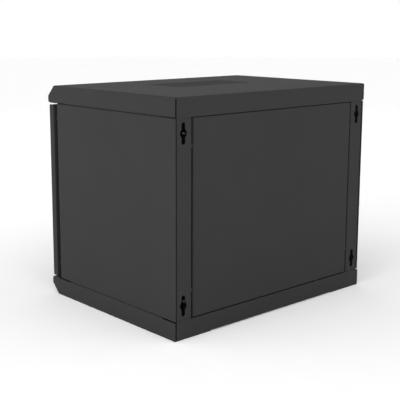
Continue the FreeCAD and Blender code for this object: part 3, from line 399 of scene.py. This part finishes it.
def solid_boxes(node_name):
    """The two corners of each separate solid in a CAD node, in a fixed order."""
    shape = merged_copy(node_name)
    unseen, boxes = set(shape.verts), []
    while unseen:
        solid = [unseen.pop()]
        search = list(solid)
        while search:
            corner = search.pop()
            for edge in corner.link_edges:
                other = edge.other_vert(corner)
                if other in unseen:
                    unseen.discard(other)
                    search.append(other)
                    solid.append(other)
        low = Vector([min(v.co[axis] for v in solid) for axis in range(3)])
        high = Vector([max(v.co[axis] for v in solid) for axis in range(3)])
        boxes.append((low, high))
    shape.free()
    return sorted(boxes, key=lambda box: [round(number, 5) for number in box[0]])


def set_along(place, direction):
    """A frame at a place, with Z along a direction and X kept level."""
    side = Vector((0, 1, 0)) if abs(direction.x) > 0.5 else Vector((1, 0, 0))
    turn = Matrix((side, direction.cross(side), direction)).transposed().to_4x4()
    return Matrix.Translation(place) @ turn


def seats(node_name, axis, way, lift=0):
    """For each solid of a node, a frame on the face that it starts from, lifted by some millimetres."""
    frames = []
    for low, high in solid_boxes(node_name):
        place = (low + high) / 2
        sign = way(place)
        direction = Vector((0, 0, 0))
        direction[axis] = sign
        place[axis] = (low if sign > 0 else high)[axis] + sign * lift * mm
        frames.append(set_along(place, direction))
    return frames


def to_the_side(place):
    return 1 if place.x > 0 else -1


def to_the_middle(place):
    return 1 if place.z < 250 * mm else -1


def onwards(place):
    return 1


add_piece("welded_post_studs", copies(stud(6, 15, 1), seats("post_studs", 2, to_the_middle)),
          fixing_zinc, "cabinet", "fixing_zinc", "post_studs")
add_piece("post_hexagon_nuts", copies(hexagon_nut(10, 5, 6), seats("post_nuts", 2, to_the_middle)),
          fixing_zinc, "cabinet", "fixing_zinc", "post_nuts")
for group in ("bar", "rail"):
    low, high = solid_boxes(f"{group}_bolts")[0]
    length = (high.x - low.x) / mm - 4
    add_piece(f"{group}_hexagon_bolts",
              copies(hexagon_bolt(10, 4, 6, length, 1), seats(f"{group}_bolts", 0, to_the_side, 4)),
              fixing_zinc, "cabinet", "fixing_zinc", f"{group}_bolts")
    add_piece(f"{group}_hexagon_nuts", copies(hexagon_nut(10, 5, 6), seats(f"{group}_nuts", 0, to_the_side)),
              fixing_zinc, "cabinet", "fixing_zinc", f"{group}_nuts")


# The panels' screws: M5 pan heads with a cross recess, zinc plated.  Those of the rear panel
# go into rivet nuts in the posts, whose collars were coated with the posts.
def pan_screw(head_width, head, diameter, length, pitch):
    edge = head_width / 2
    dome = [(0, -head), (0.5, -head), (edge * 0.45, -head), (edge * 0.75, -head * 0.86),
            (edge, -head * 0.45), (edge, -0.2), (edge - 0.2, 0)]
    shape = turned(dome + thread(diameter, 0, length, pitch) + [(0, length)], 16)
    recess = []
    for face in shape.faces:
        middle = face.calc_center_median() / mm
        flat = middle.z < 0.01 - head
        quarter = math.atan2(middle.y, middle.x) % (math.pi / 2)
        if flat and (middle.xy.length < 0.5 or quarter < math.pi / 8):
            recess.append(face)
    sunk = bmesh.ops.extrude_face_region(shape, geom=recess)["geom"]
    bmesh.ops.delete(shape, geom=recess, context="FACES")
    floor_points = points_of(sunk)
    bmesh.ops.translate(shape, vec=(0, 0, head * 0.55 * mm), verts=floor_points)
    bmesh.ops.scale(shape, vec=(0.6, 0.6, 1), verts=floor_points)
    return shape


add_piece("side_panel_pan_screws",
          copies(pan_screw(9, 3, 5, 12, 0.8), seats("side_panel_screws", 2, to_the_middle, 3)),
          fixing_zinc, "cabinet", "fixing_zinc", "side_panel_screws")
add_piece("rear_panel_pan_screws",
          copies(pan_screw(9, 3, 5, 12, 0.8), seats("rear_panel_screws", 0, to_the_side, 3)),
          fixing_zinc, "cabinet", "fixing_zinc", "rear_panel_screws")
rivet_nut = turned([(2.5, 0), (4.5, 0), (4.8, 0.3), (4.8, 3.7), (4.5, 4), (3.5, 4), (3.5, 5.5), (4.3, 6.1),
                    (4.3, 7.2), (3.5, 8), (3.5, 13.6), (3.2, 14), (2.5, 14)], ring=True)
add_piece("coated_rivet_nuts", copies(rivet_nut, seats("rivet_nuts", 0, to_the_side)),
          panel_paint, "cabinet", "panel_paint", "rivet_nuts")


# The door: a folded steel frame, powder coated, round a smoked toughened pane on a rubber
# strip, which bent clips on M4 studs hold from behind.
door_paint = powder_coat("powder_coat_door", "#3b3b3b", "#3f3f3f")
finish(["door_frame"], door_paint)


def softened(node_name, radius):
    """A copy of a CAD node whose sharp edges are broken by a small round, in millimetres."""
    shape = merged_copy(node_name)
    bmesh.ops.dissolve_limit(shape, angle_limit=math.radians(1), verts=shape.verts, edges=shape.edges)
    sharp = [edge for edge in shape.edges if edge.calc_face_angle(0) > math.radians(60)]
    bmesh.ops.bevel(shape, geom=sharp, offset=radius * mm, segments=2, profile=0.5, affect="EDGES",
                    clamp_overlap=True, material=-1)
    return shape


# Toughened float glass tinted grey: it darkens what is behind it and mirrors the room.
smoked, tree, place, shader = finish_material("smoked_toughened_glass", "#5a5c60", IOR=1.52,
                                              Roughness=0.02, Transmission_Weight=1.0)
varied_roughness(tree, place, shader, 0.01, 0.03, 120)
add_piece("door_pane", softened("door_glass", 0.6), smoked, "door", "smoked_glass", "door_glass")

# Black rubber: a soft dull black with a faint moulded grain.
rubber, tree, place, shader = finish_material("black_rubber", "#161616", IOR=1.52, Roughness=0.8)
varied_colour(tree, place, shader, "#131313", "#1b1b1b", 8)
grain_bump(tree, place, shader, 0.6, 0.02)
finish(["glass_gasket"], rubber)

add_piece("bent_glass_clips", softened("glass_clips", 0.25),
          fixing_zinc, "door", "fixing_zinc", "glass_clips")
add_piece("clip_threaded_studs", copies(stud(4, 5, 0.7), seats("clip_studs", 1, onwards)),
          fixing_zinc, "door", "fixing_zinc", "clip_studs")
add_piece("clip_hexagon_nuts", copies(hexagon_nut(7, 3, 4), seats("clip_nuts", 1, onwards)),
          fixing_zinc, "door", "fixing_zinc", "clip_nuts")


# The lower hinge: a headed steel pin riveted up through the bottom cover, with a nylon
# washer round it and a nylon bush snapped into the door's lower edge.
add_piece("riveted_hinge_pin",
          copies(turned([(0, 0), (5.3, 0), (6, 0.7), (6, 2), (4, 2), (4, 19.8), (3.4, 20.5), (0, 20.5)], 32),
                 seats("lower_hinge_pin", 2, onwards)),
          fixing_zinc, "cabinet", "fixing_zinc", "lower_hinge_pin")

# Natural nylon: a warm translucent white with a waxy sheen.
nylon, tree, place, shader = finish_material("natural_nylon", "#e4dfcf", IOR=1.53, Roughness=0.42,
                                             Subsurface_Weight=0.2, Subsurface_Scale=0.002)
varied_colour(tree, place, shader, "#dcd6c4", "#e9e5d8", 5)
grain_bump(tree, place, shader, 0.8, 0.01)
washer_section = [(4.05, 0), (8.1, 0), (8.5, 0.4), (8.5, 3.3), (8.1, 3.7), (4.05, 3.7)]
add_piece("nylon_washer",
          copies(turned(washer_section, 32, ring=True), seats("hinge_washer", 2, onwards)),
          nylon, "cabinet", "nylon", "hinge_washer")
bush_section = [(4.05, 0), (5.2, 0), (5.2, 1.2), (6, 1.2), (6, 2.8), (5.7, 3.2), (5.2, 3.2),
                (5.2, 12.6), (4.8, 13), (4.05, 13)]
add_piece("nylon_bush",
          copies(turned(bush_section, 32, ring=True), seats("hinge_bush", 2, onwards)),
          nylon, "door", "nylon", "hinge_bush")


# The upper hinge: a sprung steel rod, bent over at the bottom as a handle, that slides in
# the door's top edge and in a welded bracket, with a wire spring between bracket and collar.
add_piece("upper_pin_bracket", softened("hinge_pin_bracket", 0.2), door_paint, "door", "door_paint",
          "hinge_pin_bracket")

pin_low, pin_high = solid_boxes("sprung_hinge_pin")[0]
hinge_x, hinge_y = -289 * mm, -213 * mm
rod, bend = 3 * mm, 4 * mm
handle_z = pin_low.z + rod
pin = bmesh.new()
bmesh.ops.create_circle(pin, segments=20, radius=rod,
                        matrix=Matrix.Translation((pin_high.x - 0.5 * mm, hinge_y, handle_z))
                        @ Matrix.Rotation(math.pi / 2, 4, "Y"))
end_rim = pin.edges[:]


def drawn_on(shape, edges, move, scale=1.0):
    """Extrude an open rim by a move, scaling its far end round its own middle."""
    far = bmesh.ops.extrude_edge_only(shape, edges=edges)["geom"]
    points = points_of(far)
    middle = sum((v.co for v in points), Vector()) / len(points)
    bmesh.ops.scale(shape, vec=(scale, scale, scale), space=Matrix.Translation(-middle), verts=points)
    bmesh.ops.translate(shape, vec=move, verts=points)
    return [edge for edge in edges_of(far) if all(v in points for v in edge.verts)]


drawn_on(pin, end_rim, (0.5 * mm, 0, 0), 0.83)
elbow = drawn_on(pin, end_rim, (hinge_x + bend - pin_high.x + 0.5 * mm, 0, 0))
bent = bmesh.ops.spin(pin, geom=elbow, cent=(hinge_x + bend, hinge_y, handle_z + bend), axis=(0, 1, 0),
                      angle=math.pi / 2, steps=6)["geom_last"]
upright = edges_of(bent)
tip = drawn_on(pin, upright, (0, 0, pin_high.z - 0.8 * mm - handle_z - bend))
drawn_on(pin, tip, (0, 0, 0.8 * mm), 0.75)
bmesh.ops.holes_fill(pin, edges=pin.edges, sides=0)
collar = copies(turned([(3, 0), (5.2, 0), (5.5, 0.3), (5.5, 1.7), (5.2, 2), (3, 2)], ring=True),
                [Matrix.Translation((hinge_x, hinge_y, 451.8 * mm))])
join_in(pin, collar)
add_piece("bent_sprung_pin", pin, fixing_zinc, "hinge_pin", "fixing_zinc", "sprung_hinge_pin")

# Drawn spring steel: a dark grey wire with a fine lengthwise polish.
spring_steel, tree, place, shader = finish_material("drawn_spring_steel", "#8d9094", Metallic=1.0,
                                                    Roughness=0.3)
varied_roughness(tree, place, shader, 0.25, 0.38, 1.5)
spring_low, spring_high = solid_boxes("hinge_pin_spring")[0]
wire = 1 * mm
coil = bmesh.new()
bmesh.ops.create_circle(coil, segments=8, radius=wire / 2,
                        matrix=Matrix.Translation((hinge_x + 3.8 * mm, hinge_y, spring_low.z + wire / 2))
                        @ Matrix.Rotation(math.pi / 2, 4, "X"))
wire_end = coil.edges[:]
for turns, rise in ((1, wire), (6, spring_high.z - spring_low.z - 3 * wire), (1, wire)):
    steps = 20 * turns
    wound = bmesh.ops.spin(coil, geom=wire_end, cent=(hinge_x, hinge_y, 0), axis=(0, 0, 1),
                           angle=math.tau * turns, steps=steps, dvec=(0, 0, rise / steps))["geom_last"]
    wire_end = edges_of(wound)
bmesh.ops.holes_fill(coil, edges=coil.edges, sides=0)
spring = add_piece("hinge_pin_coil_spring", coil, spring_steel, "door", "spring_steel", "hinge_pin_spring")
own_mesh(spring)


# The cam lock: a chromed die-cast body held by a large flat nut, a plug with a keyhole, and
# a steel cam on the plug's end that catches behind the keeper.
chrome, tree, place, shader = finish_material("chrome_plate", "#d6d8db", Metallic=1.0, Roughness=0.1)
varied_roughness(tree, place, shader, 0.07, 0.16, 5)
barrel_section = [(6.05, 0), (10.4, 0), (11.6, 0.3), (12, 1)] + thread(18, 1, 20, 1.2) + [(6.05, 20)]
add_piece("lock_barrel",
          copies(turned(barrel_section, 48, ring=True), seats("lock_body", 1, onwards)),
          chrome, "door", "lock_chrome", "lock_body")
add_piece("lock_hexagon_nut", copies(hexagon_nut(22, 5, 18), seats("lock_nut", 1, onwards)),
          fixing_zinc, "door", "fixing_zinc", "lock_nut")

keyed = bmesh.new()
bmesh.ops.create_circle(keyed, segments=16, radius=0.9 * mm)
slot_rim = keyed.edges[:]
for corner in keyed.verts:
    if abs(corner.co.y) > 1e-6:
        corner.co.y += math.copysign(3.1 * mm, corner.co.y)
bmesh.ops.create_circle(keyed, segments=32, radius=5.6 * mm)
face_rim = [edge for edge in keyed.edges if edge not in slot_rim]
bmesh.ops.bridge_loops(keyed, edges=keyed.edges[:])
drawn_on(keyed, slot_rim, (0, 0, 6 * mm))
plug_edge = drawn_on(keyed, face_rim, (0, 0, 0.3 * mm), 6 / 5.6)
drawn_on(keyed, plug_edge, (0, 0, 23.9 * mm))
bmesh.ops.holes_fill(keyed, edges=keyed.edges, sides=0)
add_piece("keyed_plug", copies(keyed, seats("lock_plug", 1, onwards)),
          chrome, "lock_core", "lock_chrome", "lock_plug")

cam_low, cam_high = solid_boxes("lock_cam")[0]
cam = bmesh.new()
bmesh.ops.create_cube(cam, size=1, matrix=Matrix.Translation((cam_low + cam_high) / 2)
                      @ Matrix.Diagonal((*(cam_high - cam_low), 1)))
ends = [edge for edge in cam.edges if abs(edge.verts[0].co.y - edge.verts[1].co.y) > 1 * mm]
bmesh.ops.bevel(cam, geom=ends, offset=5 * mm, segments=6, profile=0.5, affect="EDGES", material=-1)
rims = [edge for edge in cam.edges if edge.calc_face_angle(0) > math.radians(60)]
bmesh.ops.bevel(cam, geom=rims, offset=0.25 * mm, segments=2, profile=0.5, affect="EDGES", material=-1)
add_piece("rounded_cam", cam, fixing_zinc, "lock_core", "fixing_zinc", "lock_cam")
cam_screw = copies(pan_screw(9, 3, 5, 2, 0.8), [set_along(frame_matrix.translation, Vector((0, -1, 0)))
                                               for frame_matrix in seats("cam_screw", 1, onwards, 2)])
add_piece("cam_pan_screw", cam_screw, fixing_zinc, "lock_core", "fixing_zinc", "cam_screw")


# The door's stops: two moulded rubber buttons pressed into the front post.
button_section = [(0, 0), (3.4, 0), (4.5, 0.6), (5, 1.7), (5, 7.4), (4.6, 8), (5, 8.6), (5, 9.4), (0, 9.4)]
add_piece("rubber_buttons",
          copies(turned(button_section, 24), seats("door_bumpers", 1, onwards)),
          rubber, "cabinet", "rubber", "door_bumpers")


# The earth point: an M6 stud welded to the floor, with a brass washer and nut.
brass, tree, place, shader = finish_material("bare_brass", "#c9a45c", Metallic=1.0, Roughness=0.3)
varied_colour(tree, place, shader, "#b98f48", "#cfae6b", 4)
varied_roughness(tree, place, shader, 0.25, 0.4, 6)
add_piece("welded_earth_stud", copies(stud(6, 20, 1), seats("earth_stud", 2, onwards)),
          fixing_zinc, "cabinet", "fixing_zinc", "earth_stud")
add_piece("brass_washer",
          copies(turned([(3, 0), (6.8, 0), (7, 0.2), (7, 1.3), (6.8, 1.5), (3, 1.5)], 32, ring=True),
                 seats("earth_washer", 2, onwards)),
          brass, "cabinet", "brass", "earth_washer")
add_piece("brass_nut", copies(hexagon_nut(10, 5, 6), seats("earth_nut", 2, onwards)),
          brass, "cabinet", "brass", "earth_nut")
